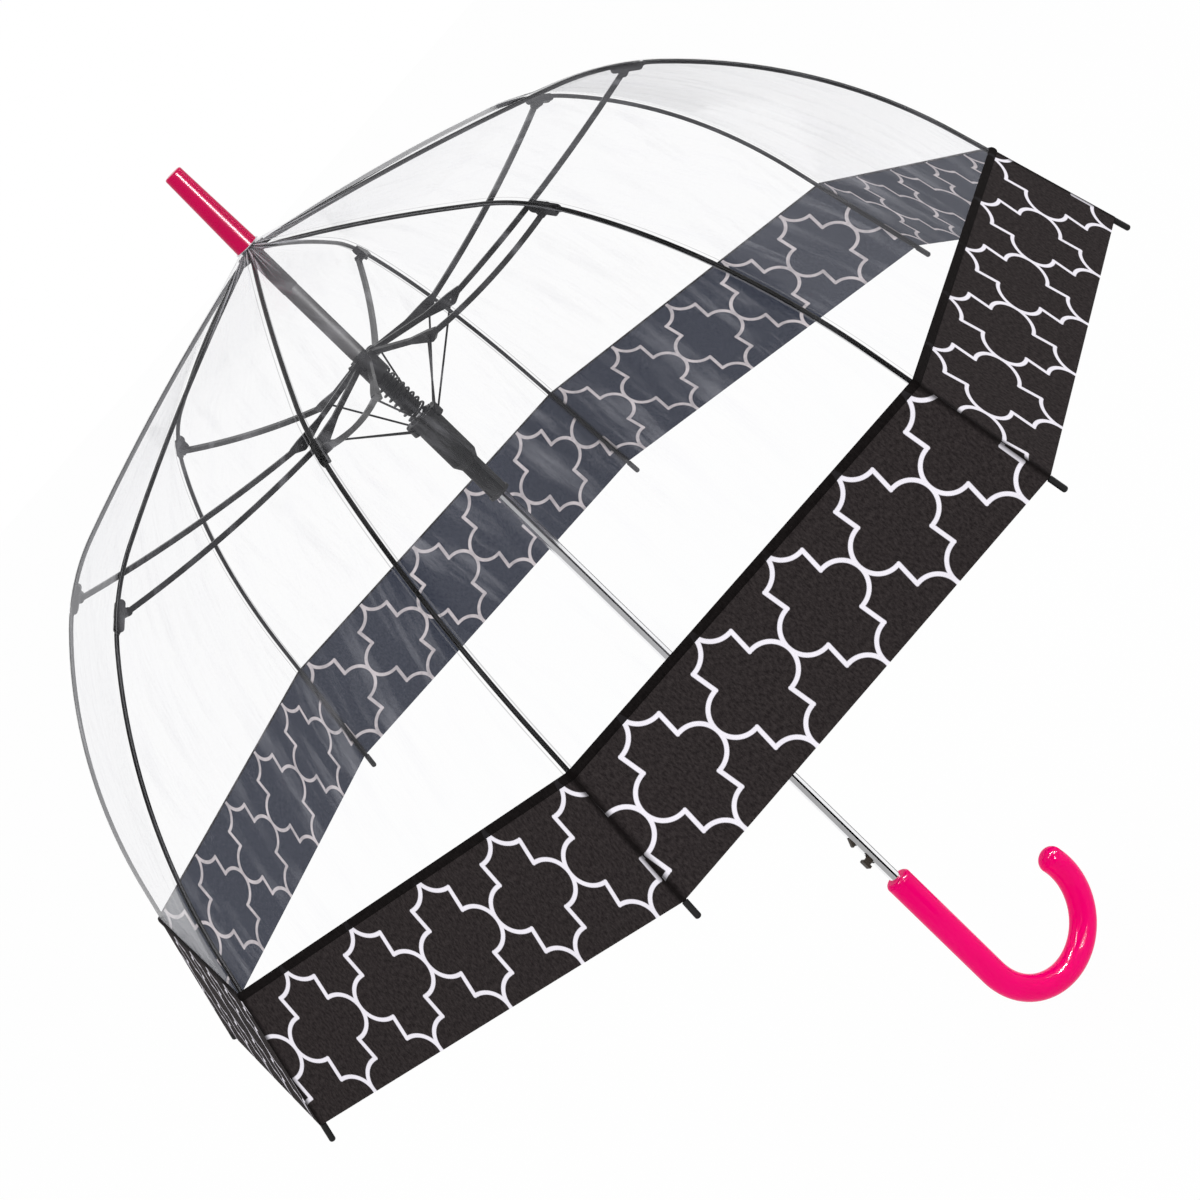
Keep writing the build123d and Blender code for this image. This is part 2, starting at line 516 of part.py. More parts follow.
# ---- Main spring: one wire wound round the guide tube, in the cup ----
COIL_RADIUS = (SPRING_DIAMETER - SPRING_WIRE) / 2
SPRING_BOTTOM = CUP_FLOOR_Z + SPRING_WIRE / 2 + SPRING_SEAT_GAP
SPRING_TOP = COLLAR_BOTTOM - SPRING_WIRE / 2 - SPRING_SEAT_GAP
SPRING_RISE = (SPRING_TOP - SPRING_BOTTOM) / SPRING_TURNS


def coil_point(turns):
    angle = 2 * pi * turns
    return Vector(COIL_RADIUS * cos(angle), COIL_RADIUS * sin(angle), SPRING_BOTTOM + SPRING_RISE * turns)


def coil_heading(turns):
    angle = 2 * pi * turns
    return Vector(-COIL_RADIUS * sin(angle), COIL_RADIUS * cos(angle), SPRING_RISE / (2 * pi)).normalized()


def meeting_point(start, start_heading, end, end_heading):
    """Where the two arcs of a biarc with equal arms meet."""
    chord, both = end - start, start_heading + end_heading
    spread = 2 * (1 - start_heading.dot(end_heading))
    along = chord.dot(both)
    arm = (sqrt(along ** 2 + spread * chord.dot(chord)) - along) / spread
    return (start + start_heading * arm + end - end_heading * arm) * 0.5


with BuildPart() as main_spring:
    with BuildLine() as wire:
        Line(coil_point(0) - coil_heading(0) * SPRING_WIRE, coil_point(0))
        for half in range(2 * SPRING_TURNS):
            start, end = coil_point(half / 2), coil_point(half / 2 + 0.5)
            meeting = meeting_point(start, coil_heading(half / 2), end, coil_heading(half / 2 + 0.5))
            first_arc = TangentArc(start, meeting, tangent=coil_heading(half / 2))
            TangentArc(meeting, end, tangent=first_arc % 1)
        Line(coil_point(SPRING_TURNS), coil_point(SPRING_TURNS) + coil_heading(SPRING_TURNS) * SPRING_WIRE)
    with BuildSketch(Plane(origin=coil_point(0) - coil_heading(0) * SPRING_WIRE, z_dir=coil_heading(0))):
        Circle(SPRING_WIRE / 2)
    sweep(path=wire.wire())
save(main_spring, "main_spring")
turn_points = [coil_point(step / 72) for step in range(72 * SPRING_TURNS + 1)]
least_gap = min((turn_points[0] - other).length for other in turn_points[36:]) - SPRING_WIRE
print(f"main spring: pitch {SPRING_RISE:.2f} mm, least gap to itself {least_gap:.2f} mm")

# ---- Ribs: a sprung rod from crown to clip, and one from clip to tip ----
BLADE_LENGTH = hypot(CROWN_DIAMETER / 2 - PIVOT_RADIUS, CROWN_BELOW_PIVOT) + SLOT_PLAY
CLIP_RADIUS = RIB_CLIP_WIDTH / 2
JOINT_EYE_RADIUS = JOINT_PIN_DIAMETER / 2 + EYE_WALL
JOINT_BLADE_HALF = RIB_CLIP_WIDTH / 6
ROD_FROM_JOINT = CLIP_RADIUS + SLOT_PLAY
BLADE_END_RADIUS = 0.8 * RIB_RADIUS


def on_shoulder(distance):
    """Station this far along the shoulder's bend from the rib joint."""
    return along_arc(RIB_JOINT, SHOULDER_BEND_RADIUS, degrees(distance / SHOULDER_BEND_RADIUS))


def on_crown(distance):
    """Station this far along the rib from its hinge in the crown."""
    return along_arc(PIVOT, CROWN_BEND_RADIUS, degrees(distance / CROWN_BEND_RADIUS))


def arc_between(start, end, radius, distance=0.0):
    """Arc of a bend from one station to another, moved outwards by a distance."""
    middle = along_arc(start, radius, (end[2] - start[2]) / 2)
    return ThreePointArc(lifted(start, distance), lifted(middle, distance), lifted(end, distance))


def clip_sleeve():
    """Sides of the moulded clip along the rib, round at both ends."""
    with Locations(lifted(on_shoulder(-RIB_CLIP_LENGTH), -CLIP_SINK), JOINT_POINT):
        Circle(CLIP_RADIUS)
    make_hull()


def clip_ear():
    """The clip's ear, down to the stretcher's pivot."""
    with Locations(lifted(on_shoulder(-CLIP_PIVOT_BACK - CLIP_EAR_HALF), -CLIP_SINK),
                   lifted(on_shoulder(-CLIP_PIVOT_BACK + CLIP_EAR_HALF), -CLIP_SINK), CLIP_PIVOT):
        Circle(CLIP_RADIUS)
    make_hull()


def tilt(station):
    """Plane across the rib at a station of the rib plane at angle zero."""
    x, z, slope = station
    return (x, z), (cos(radians(slope)), -sin(radians(slope)))


def across(plane, station):
    """Plane square to the rib at a station."""
    point, (out, up) = tilt(station)
    origin = plane.from_local_coords((point[0], point[1], 0))
    ahead = plane.x_dir * out + Vector(0, 0, 1) * up
    return Plane(origin=origin, z_dir=ahead)


for index in range(RIB_COUNT):
    plane = rib_plane(rib_angle(index))
    with BuildPart() as upper_rod:
        with BuildLine(plane) as upper_route:
            arc_between(on_crown(BLADE_LENGTH), SHOULDER_START, CROWN_BEND_RADIUS)
            arc_between(SHOULDER_START, on_shoulder(-ROD_FROM_JOINT), SHOULDER_BEND_RADIUS)
        with BuildSketch(across(plane, on_crown(BLADE_LENGTH))):
            Circle(RIB_RADIUS)
        sweep(path=upper_route.wire())
        with BuildSketch(plane):
            with Locations(lifted(PIVOT)):
                Circle(RIB_EYE_RADIUS)
            with Locations(lifted(on_crown(BLADE_LENGTH + RIB_RADIUS))):
                Circle(BLADE_END_RADIUS)
            make_hull()
            with Locations(lifted(PIVOT)):
                Circle(ring_hole(PIVOT_RADIUS, 0, RIB_EYE_WIDTH / 2), mode=Mode.SUBTRACT)
        extrude(amount=RIB_EYE_WIDTH / 2, both=True)
    with BuildPart() as clip:
        for outline in (clip_sleeve, clip_ear):
            with BuildSketch(plane):
                outline()
            extrude(amount=CLIP_RADIUS, both=True)
        with BuildSketch(plane):
            with Locations(Location((*JOINT_POINT, 0), (0, 0, -RIB_JOINT[2]))):
                with Locations((-JOINT_EYE_RADIUS - SLOT_PLAY, 0)):
                    Rectangle(RIB_CLIP_LENGTH, 2 * RIB_CLIP_WIDTH, align=(Align.MIN, Align.CENTER))
        extrude(amount=JOINT_BLADE_HALF + SLOT_PLAY, both=True, mode=Mode.SUBTRACT)
        bore_start = on_shoulder(-RIB_CLIP_LENGTH - RIB_CLIP_WIDTH)
        with BuildLine(plane) as bore_route:
            arc_between(bore_start, on_shoulder(-ROD_FROM_JOINT), SHOULDER_BEND_RADIUS)
        with BuildSketch(across(plane, bore_start)):
            Circle(RIB_RADIUS + PIN_PLAY)
        sweep(path=bore_route.wire(), mode=Mode.SUBTRACT)
        with BuildSketch(plane):
            with Locations(JOINT_POINT):
                Circle(JOINT_PIN_DIAMETER / 2)
        extrude(amount=CLIP_RADIUS * 0.9, both=True)
    save_group([upper_rod, clip], f"rib_upper_{index + 1}")

    with BuildPart() as lower_rod:
        rod_start, rod_end = on_shoulder(ROD_FROM_JOINT), along_line(TIP, -ROD_IN_TIP)
        with BuildLine(plane) as lower_route:
            arc_between(rod_start, SHOULDER_END, SHOULDER_BEND_RADIUS)
            arc_between(SHOULDER_END, SKIRT_START, SIDE_BEND_RADIUS)
            Line(lifted(SKIRT_START), lifted(rod_end))
        with BuildSketch(across(plane, rod_start)):
            Circle(RIB_RADIUS)
        sweep(path=lower_route.wire())
        with BuildSketch(plane):
            with Locations(JOINT_POINT):
                Circle(JOINT_EYE_RADIUS)
            with Locations(lifted(on_shoulder(ROD_FROM_JOINT + RIB_RADIUS))):
                Circle(BLADE_END_RADIUS)
            make_hull()
            with Locations(JOINT_POINT):
                Circle(JOINT_PIN_DIAMETER / 2 + PIN_PLAY, mode=Mode.SUBTRACT)
        extrude(amount=JOINT_BLADE_HALF, both=True)
    save(lower_rod, f"rib_lower_{index + 1}")

    cap_start = along_line(RIM, CAP_FROM_RIM)
    with BuildPart() as tip_cap:
        with BuildSketch(across(plane, cap_start)):
            Circle(CAP_DIAMETER / 2)
        extrude(amount=TIP_PROUD - CAP_FROM_RIM)
        far_face = tip_cap.faces().filter_by(GeomType.PLANE).sort_by(Axis.Z)[0]
        fillet(far_face.edges(), CAP_DIAMETER * CAP_ROUNDING)
        with BuildSketch(across(plane, cap_start)):
            Circle(RIB_RADIUS)
        extrude(amount=TIP_PROUD - CAP_FROM_RIM - ROD_IN_TIP, mode=Mode.SUBTRACT)
    save(tip_cap, f"rib_tip_{index + 1}")


# ---- Stretchers: pressed channels with an eye at the runner and a riveted end at the rib ----
def bowed(start, end, bow, part):
    """Point at a part of the way from start to end on a shallow bend that sags by bow."""
    sag = 4 * bow * part * (1 - part)
    angle = radians(heading(start, end))
    return (start[0] + (end[0] - start[0]) * part + sag * sin(angle),
            start[1] + (end[1] - start[1]) * part - sag * cos(angle))


def bar_arc(first, last, drop=0.0):
    """The bar's centreline between two parts of its length, lowered by a drop."""
    points = [bowed(ELBOW, CLIP_PIVOT, STRETCHER_BOW, part) for part in (first, (first + last) / 2, last)]
    return ThreePointArc(*[(x, z - drop) for x, z in points])


def elbow_leaf():
    """Pressed leaf round the elbow, widest at the brace's hole and as narrow as the bar at its ends."""
    with Locations(bowed(ELBOW, UPPER_HINGE, 0, LEAF_BACK / apart(ELBOW, UPPER_HINGE)),
                   bowed(ELBOW, CLIP_PIVOT, 0, LEAF_AHEAD / apart(ELBOW, CLIP_PIVOT))):
        Circle(STRETCHER_DEPTH / 2)
    with Locations(ELBOW):
        Circle(ELBOW_BOSS_DIAMETER / 2)
    make_hull()


for index in range(RIB_COUNT):
    plane = rib_plane(rib_angle(index), STRETCHER_SIDE)
    outer_face = rib_plane(rib_angle(index), STRETCHER_SIDE + STRETCHER_WIDTH / 2)
    with BuildPart() as stretcher:
        with BuildSketch(plane):
            elbow_leaf()
            with BuildLine():
                Line(UPPER_HINGE, ELBOW)
            trace(line_width=STRETCHER_DEPTH)
            with BuildLine():
                bar_arc(0, 1)
            trace(line_width=STRETCHER_DEPTH)
            with Locations(UPPER_HINGE):
                Circle(STRETCHER_EYE_RADIUS)
            with Locations(CLIP_PIVOT):
                Circle(CLIP_BOSS_DIAMETER / 2)
            with Locations(UPPER_HINGE):
                Circle(JOINT_PIN_DIAMETER / 2 + PIN_PLAY, mode=Mode.SUBTRACT)
            with Locations(ELBOW):
                Circle(BRACE_WIRE / 2, mode=Mode.SUBTRACT)
        extrude(amount=STRETCHER_WIDTH / 2, both=True)
        with BuildSketch(plane):
            with BuildLine():
                bar_arc(GROOVE_START, GROOVE_END, STRETCHER_WALL)
            trace(line_width=STRETCHER_DEPTH)
        extrude(amount=STRETCHER_WIDTH / 2 - STRETCHER_WALL, both=True, mode=Mode.SUBTRACT)
        with BuildSketch(outer_face):
            with Locations(CLIP_PIVOT):
                Circle(RIVET_DIAMETER / 2)
        extrude(amount=-RIVET_HEAD)
    save(stretcher, f"stretcher_{index + 1}")

# ---- Braces: sprung wires from the lower runner to the stretchers' elbows ----
for index in range(RIB_COUNT):
    plane = rib_plane(rib_angle(index), BRACE_SIDE)
    with BuildPart() as brace:
        with BuildLine(plane) as brace_route:
            Line(LOWER_HINGE, ELBOW)
        with BuildSketch(Plane(origin=brace_route.line @ 0, z_dir=brace_route.line % 0)):
            Circle(BRACE_WIRE / 2)
        sweep(path=brace_route.wire())
        with BuildSketch(plane):
            with Locations(LOWER_HINGE, ELBOW):
                Circle(BRACE_EYE_RADIUS)
        extrude(amount=BRACE_EYE_THICKNESS / 2, both=True)
        with BuildSketch(plane):
            with Locations(LOWER_HINGE, ELBOW):
                Circle(ring_hole(LOWER_RING_RADIUS, BRACE_SIDE - BRACE_WIRE / 2, BRACE_SIDE + BRACE_WIRE / 2))
        extrude(amount=BRACE_WIRE, both=True, mode=Mode.SUBTRACT)
    save(brace, f"brace_{index + 1}")

# ---- Canopy: eight clear gores and a cloth border, each panel ruled from rib to rib ----
FILM_INNER = RIB_RADIUS + CANOPY_GAP
FILM_OUTER = FILM_INNER + FILM_THICKNESS


def dome_edge(distance, collar_z):
    """Film face in a rib's plane, from the shaft down to the seam, this far off the rib."""
    touch = on_crown(CANOPY_COLLAR_RUN)
    Line((CANOPY_HOLE_RADIUS, collar_z), lifted(touch, distance))
    arc_between(touch, SHOULDER_START, CROWN_BEND_RADIUS, distance)
    arc_between(SHOULDER_START, SHOULDER_END, SHOULDER_BEND_RADIUS, distance)
    arc_between(SHOULDER_END, SKIRT_START, SIDE_BEND_RADIUS, distance)
    Line(lifted(SKIRT_START, distance), lifted(SEAM, distance))


def dome_section(plane):
    with BuildSketch(plane) as section:
        with BuildLine():
            dome_edge(FILM_INNER, FILM_UNDERSIDE)
            Line(lifted(SEAM, FILM_INNER), lifted(SEAM, FILM_OUTER))
            dome_edge(FILM_OUTER, FILM_UNDERSIDE + FILM_THICKNESS)
            Line((CANOPY_HOLE_RADIUS, FILM_UNDERSIDE), (CANOPY_HOLE_RADIUS, FILM_UNDERSIDE + FILM_THICKNESS))
        make_face()
    return section.sketch


def border_section(plane):
    """Cloth border with a thicker hem along its top and bottom edges."""
    cloth, hem = FILM_INNER + FABRIC_THICKNESS, FILM_INNER + HEM_THICKNESS
    hem_in, hem_out = along_line(SEAM, HEM_HEIGHT), along_line(RIM, -HEM_HEIGHT)
    with BuildSketch(plane) as section:
        with BuildLine():
            Polyline(lifted(SEAM, FILM_INNER), lifted(SEAM, hem), lifted(hem_in, hem),
                     lifted(hem_in, cloth), lifted(hem_out, cloth), lifted(hem_out, hem),
                     lifted(RIM, hem), lifted(RIM, FILM_INNER), close=True)
        make_face()
    return section.sketch


def panels(section):
    """One solid for each sector, ruled between the sections in its two rib planes."""
    made = []
    for index in range(RIB_COUNT):
        edges = [section(rib_plane(rib_angle(side))) for side in (index, index + 1)]
        with BuildPart() as panel:
            loft(sections=edges, ruled=True)
        made.append(panel)
    return made


save_group(panels(dome_section), "canopy_clear")
save_group(panels(border_section), "canopy_border")
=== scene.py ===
"""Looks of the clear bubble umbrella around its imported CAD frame. Metres, same frame as the CAD."""
import bpy
import json
from math import cos, degrees, hypot, pi, radians, sin
from mathutils import Matrix, Quaternion, Vector


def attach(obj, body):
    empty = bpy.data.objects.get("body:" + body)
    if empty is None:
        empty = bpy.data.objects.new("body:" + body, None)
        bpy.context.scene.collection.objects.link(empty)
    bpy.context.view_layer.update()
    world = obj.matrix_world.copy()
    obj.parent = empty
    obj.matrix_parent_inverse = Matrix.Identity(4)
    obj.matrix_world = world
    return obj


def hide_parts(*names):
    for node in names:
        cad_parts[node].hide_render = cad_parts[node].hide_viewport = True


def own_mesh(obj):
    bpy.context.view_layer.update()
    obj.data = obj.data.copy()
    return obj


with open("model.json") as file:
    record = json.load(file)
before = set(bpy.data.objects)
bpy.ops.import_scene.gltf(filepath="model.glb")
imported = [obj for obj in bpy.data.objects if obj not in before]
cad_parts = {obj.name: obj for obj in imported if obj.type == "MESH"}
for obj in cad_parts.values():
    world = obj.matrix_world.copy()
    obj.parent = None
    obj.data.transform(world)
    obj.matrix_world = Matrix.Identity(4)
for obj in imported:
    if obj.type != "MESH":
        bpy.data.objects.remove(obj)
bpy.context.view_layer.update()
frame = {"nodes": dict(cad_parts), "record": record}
nodes = frame["nodes"]
scene = bpy.context.scene
scene.view_settings.view_transform = "Standard"

RIBS = 8
FIRST_RIB = -37.0                # the first rib's angle round the shaft, in degrees
SECTOR = 360.0 / RIBS
HALF_CHORD = sin(radians(SECTOR / 2))   # half the chord between two ribs, for a radius of 1
MM = 1000.0                      # UV layouts are in metres, and the patterns on them in mm
CANOPY_NODES = ("canopy_clear", "canopy_border")

# ---- Camera at the photograph's viewpoint ----
CAMERA_PLACE = (-0.87272, -1.91754, 0.87959)
CAMERA_TURN = (0.649134, 0.598241, 0.113600, -0.455882)
SENSOR_WIDTH = 36.0
LENS = 90.238
CLIP_START, CLIP_END = 0.05, 60.0

camera = bpy.data.objects.new("camera", bpy.data.cameras.new("camera"))
scene.collection.objects.link(camera)
camera.location = CAMERA_PLACE
camera.rotation_mode = "QUATERNION"
camera.rotation_quaternion = Quaternion(CAMERA_TURN)
camera.data.sensor_width = SENSOR_WIDTH
camera.data.lens = LENS
camera.data.clip_start, camera.data.clip_end = CLIP_START, CLIP_END
scene.camera = camera


# ---- Helpers ----
class Tree:
    """Adds shader nodes and joins them, with plain numbers set on the sockets."""

    def __init__(self, owner):
        owner.use_nodes = True
        self.tree = owner.node_tree
        self.tree.nodes.clear()

    def add(self, kind, inputs=None, **settings):
        node = self.tree.nodes.new(kind)
        for key, value in settings.items():
            setattr(node, key, value)
        for key, value in (inputs or {}).items():
            if isinstance(value, bpy.types.NodeSocket):
                self.tree.links.new(value, node.inputs[key])
            else:
                node.inputs[key].default_value = value
        return node

    def math(self, operation, *values, clamp=False):
        return self.add("ShaderNodeMath", dict(enumerate(values)), operation=operation,
                        use_clamp=clamp).outputs[0]

    def plus(self, a, b):
        return self.math("ADD", a, b)

    def minus(self, a, b):
        return self.math("SUBTRACT", a, b)

    def times(self, a, b):
        return self.math("MULTIPLY", a, b)

    def gap(self, a, b):
        return self.math("ABSOLUTE", self.minus(a, b))

    def larger(self, a, b, clamp=False):
        return self.math("MAXIMUM", a, b, clamp=clamp)

    def uv(self, name):
        return self.add("ShaderNodeUVMap", uv_map=name).outputs[0]

    def parts(self, vector):
        return self.add("ShaderNodeSeparateXYZ", {0: vector}).outputs

    def scaled(self, vector, scale):
        return self.add("ShaderNodeMapping", {"Vector": vector, "Scale": scale}).outputs[0]

    def noise(self, vector, scale, detail=4.0, roughness=0.5):
        return self.add("ShaderNodeTexNoise", {"Vector": vector, "Scale": scale, "Detail": detail,
                                               "Roughness": roughness}).outputs["Fac"]

    def ramp(self, value, low, high, out_low=0.0, out_high=1.0):
        return self.add("ShaderNodeMapRange", {
            "Value": value, "From Min": low, "From Max": high,
            "To Min": out_low, "To Max": out_high}).outputs[0]

    def mix(self, factor, a, b):
        """Mixes two colours. In this node, inputs 6 and 7 and output 2 are the colours."""
        return self.add("ShaderNodeMix", {0: factor, 6: a, 7: b}, data_type="RGBA").outputs[2]

    def bump(self, height, strength, distance):
        return self.add("ShaderNodeBump", {"Height": height, "Strength": strength,
                                           "Distance": distance}).outputs[0]

    def principled(self, **sockets):
        """The shader, with each socket's name written with _ for a space."""
        named = {name.replace("_", " "): value for name, value in sockets.items()}
        return self.add("ShaderNodeBsdfPrincipled", named).outputs[0]

    def finish(self, shader):
        self.add("ShaderNodeOutputMaterial", {"Surface": shader})


def rgba(colour):
    return (*colour, 1.0)


def mesh_piece(name, points, faces, material, smooth=True):
    mesh = bpy.data.meshes.new(name)
    mesh.from_pydata(points, [], faces)
    for polygon in mesh.polygons:
        polygon.use_smooth = smooth
    mesh.materials.append(material)
    piece = bpy.data.objects.new(name, mesh)
    scene.collection.objects.link(piece)
    return piece


# ---- Moulded plastic, paint and metal ----
PATCH_SCALE = 38.0
COLOUR_BAND = (0.35, 0.7)        # the patches' noise values that the colour changes over
GLOSS_BAND = (0.3, 0.7)
GLOSS_SPREAD = (0.85, 1.25)      # least and most roughness, as parts of the one given
GRAIN_DETAIL = 2.0
GRAIN_STRENGTH = 0.5


def moulded(name, colour, worn, roughness, grain=1800.0, grain_depth=0.00002, metallic=0.0,
            gloss=0.5):
    """Faint colour variation, uneven gloss and, where it has a depth, a fine grain."""
    material = bpy.data.materials.new(name)
    t = Tree(material)
    place = t.add("ShaderNodeTexCoord").outputs["Object"]
    patches = t.noise(place, PATCH_SCALE)
    smoothest = roughness * GLOSS_SPREAD[0]
    roughest = min(1.0, roughness * GLOSS_SPREAD[1])
    sockets = {"Base_Color": t.mix(t.ramp(patches, *COLOUR_BAND), rgba(colour), rgba(worn)),
               "Roughness": t.ramp(patches, *GLOSS_BAND, smoothest, roughest),
               "Metallic": metallic, "Specular_IOR_Level": gloss}
    if grain_depth:
        fine = t.noise(place, grain, GRAIN_DETAIL)
        sockets["Normal"] = t.bump(fine, GRAIN_STRENGTH, grain_depth)
    t.finish(t.principled(**sockets))
    return material


chrome = moulded("chrome", (0.93, 0.93, 0.94), (0.84, 0.84, 0.86), 0.08,
                 grain=900.0, grain_depth=0.000004, metallic=1.0)
wire_steel = moulded("steel_wire", (0.22, 0.22, 0.23), (0.15, 0.15, 0.16), 0.32, metallic=1.0)
black_steel = moulded("black_steel", (0.002, 0.002, 0.002), (0.008, 0.008, 0.008), 0.30,
                      gloss=0.10)
black_plastic = moulded("black_plastic", (0.005, 0.005, 0.005), (0.012, 0.012, 0.012), 0.50,
                        grain_depth=0.00005, gloss=0.20)
tube_plastic = moulded("tube_plastic", (0.020, 0.017, 0.018), (0.034, 0.030, 0.031), 0.50,
                       grain_depth=0.000008, gloss=0.35)
lever_paint = moulded("lever_paint", (0.030, 0.022, 0.015), (0.055, 0.042, 0.030), 0.40,
                      gloss=0.3)
pink_plastic = moulded("pink_plastic", (1.0, 0.0, 0.175), (0.98, 0.0, 0.165), 0.10,
                       grain_depth=0.0, gloss=0.07)
magenta_plastic = moulded("magenta_plastic", (0.56, 0.0, 0.072), (0.50, 0.0, 0.064), 0.21,
                          grain_depth=0.0, gloss=0.10)

# ---- Clear vinyl. A cover is the share of what lies behind that the film hides ----
VINYL_IOR = 1.53
FILM_COLOUR = (0.76, 0.76, 0.82)
FILM_ROUGHNESS = 0.06
FILM_GLOSS = 0.5
EVEN_COVER = 0.035
SLANT_BLEND = 0.30               # more cover where the film is seen at a slant
SLANT_POWER = 2.6
SLANT_COVER = 0.62
STREAK_SCALE = (58.0, 7.5, 1.0)  # fine, and long down the film
STREAK_DETAIL = (6.0, 0.62)
STREAK_BAND = (0.48, 0.66)
SWELL_SCALE = (11.0, 8.0, 1.0)
SWELL_DETAIL = 3.0
SWELL_BAND = (0.42, 0.62)
STREAK_COVER = (0.05, 0.20)      # between swells and on them
SWELL_HEIGHT, STREAK_HEIGHT = 0.7, 0.3
FILM_BUMP = (0.6, 0.004)
FILM_WELD = 3.5                  # weld beside each rib, in mm
WELD_EDGE = (0.25, 0.65)         # half the weld's width, where it is full and where it ends
WELD_COLOUR = (0.16, 0.16, 0.17)
WELD_COVER = 0.40
BESIDE_RIB = (FILM_WELD - 1.0, FILM_WELD + 12.0)   # the film clears up towards the rib
BESIDE_RIB_SHARE = 0.15
CREASE_FROM, CREASE_TO = 0.02, 0.11     # creases that spread from the crown, down the film
CREASE_FAN = 15.0
CREASE_CENTRE = 0.01
CREASE_DETAIL = (3.0, 0.6)
CREASE_BAND = (0.46, 0.62)
CREASE_COVER = 0.75
WASHER_COLOUR = (0.72, 0.74, 0.80)
WASHER_ROUGHNESS = 0.08
WASHER_RIM_BLEND = 0.4           # the washer is denser where it is seen at a slant
WASHER_RIM_BAND = (0.1, 0.9)
WASHER_COVER = (0.25, 0.75)


def crown_creases(t, aside, down):
    """Creases that fan out from the crown and fade down the film."""
    near_crown = t.ramp(down, CREASE_FROM, CREASE_TO, 1.0, 0.0)
    turn = t.math("DIVIDE", aside, t.plus(down, CREASE_CENTRE))
    ray = t.add("ShaderNodeCombineXYZ", {0: t.times(turn, CREASE_FAN), 1: down}).outputs[0]
    creases = t.noise(ray, 1.0, *CREASE_DETAIL)
    return t.times(near_crown, t.ramp(creases, *CREASE_BAND, 0.0, CREASE_COVER))


def clear_film():
    """See-through, with a pale haze, long faint streaks and a denser look at a slant."""
    material = bpy.data.materials.new("clear_film")
    t = Tree(material)
    sheet = t.uv("sheet")
    streaks = t.noise(t.scaled(sheet, STREAK_SCALE), 1.0, *STREAK_DETAIL)
    swells = t.noise(t.scaled(sheet, SWELL_SCALE), 1.0, SWELL_DETAIL)
    slant = t.add("ShaderNodeLayerWeight", {"Blend": SLANT_BLEND}).outputs["Facing"]
    edge = t.times(t.math("POWER", slant, SLANT_POWER), SLANT_COVER)
    marks = t.times(t.ramp(streaks, *STREAK_BAND), t.ramp(swells, *SWELL_BAND, *STREAK_COVER))
    aside, down, _ = t.parts(t.uv("rib"))
    from_rib = t.times(aside, MM)
    weld = t.ramp(t.gap(from_rib, FILM_WELD), *WELD_EDGE, 1.0, 0.0)
    haze = t.plus(t.plus(edge, marks), EVEN_COVER)
    haze = t.times(haze, t.ramp(from_rib, *BESIDE_RIB, BESIDE_RIB_SHARE, 1.0))
    cover = t.plus(haze, t.times(weld, WELD_COVER))
    height = t.plus(t.times(swells, SWELL_HEIGHT), t.times(streaks, STREAK_HEIGHT))
    t.finish(t.principled(
        Base_Color=t.mix(weld, rgba(FILM_COLOUR), rgba(WELD_COLOUR)), Roughness=FILM_ROUGHNESS,
        IOR=VINYL_IOR, Alpha=t.larger(cover, crown_creases(t, aside, down), clamp=True),
        Specular_IOR_Level=FILM_GLOSS, Normal=t.bump(height, *FILM_BUMP)))
    return material


def clear_washer():
    """The same vinyl, thicker, without the sheet's streaks."""
    material = bpy.data.materials.new("washer_clear")
    t = Tree(material)
    rim = t.add("ShaderNodeLayerWeight", {"Blend": WASHER_RIM_BLEND}).outputs["Facing"]
    t.finish(t.principled(
        Base_Color=rgba(WASHER_COLOUR), Roughness=WASHER_ROUGHNESS, IOR=VINYL_IOR,
        Alpha=t.ramp(rim, *WASHER_RIM_BAND, *WASHER_COVER)))
    return material


# ---- Printed cloth. Its patterns count mm along the seam and down from it ----
PRINT_PERIOD = 66.0
PRINT_ROW = 49.5
PRINT_START = 9.5
PRINT_LINE = 2.9                 # width of a printed line
LINE_SOFTNESS = 0.25
LOBE = PRINT_PERIOD / 4          # radius of the print's semicircles
STROKE_SLANT = 0.1
OUT_OF_REACH = 100.0             # added to the half of a circle that isn't drawn
BORDER_MM = 101.0
HEM_MM = 6.0
STITCHES = 400.0                 # in a metre
STITCH_GAP = 0.3                 # share of a stitch's length
STITCH_EDGE = (0.25, 0.6)
STITCH_DEPTH = 1.6               # in weave heights
CREASE_SHADE_MM = 4.4                  # painted shade of the crease on each side of a rib
CREASE_SHADE_CORE = 0.2                # share of it, next to the rib, that is darkest
CREASE_SHADE_DARKNESS = 0.85
# Colour of the painted shade in the crease beside each rib
CREASE_SHADE_COLOUR = (0.003, 0.002, 0.002)
WEAVE_SCALE = 420.0
MOTTLE_STRETCH = (1.0, 0.45, 1.0)
MOTTLE = (620.0, 5.0, 0.75)      # scale, detail and roughness of the noise
MOTTLE_BAND = (0.38, 0.64)
MOTTLE_HEIGHT = 0.8
INK_PATCHES = (60.0, 6.0, 0.7)
INK_BAND = (0.40, 0.66)
CLOTH_ROUGHNESS = 0.85
CLOTH_GLOSS = 0.05
CLOTH_BUMP = (0.35, 0.00025)


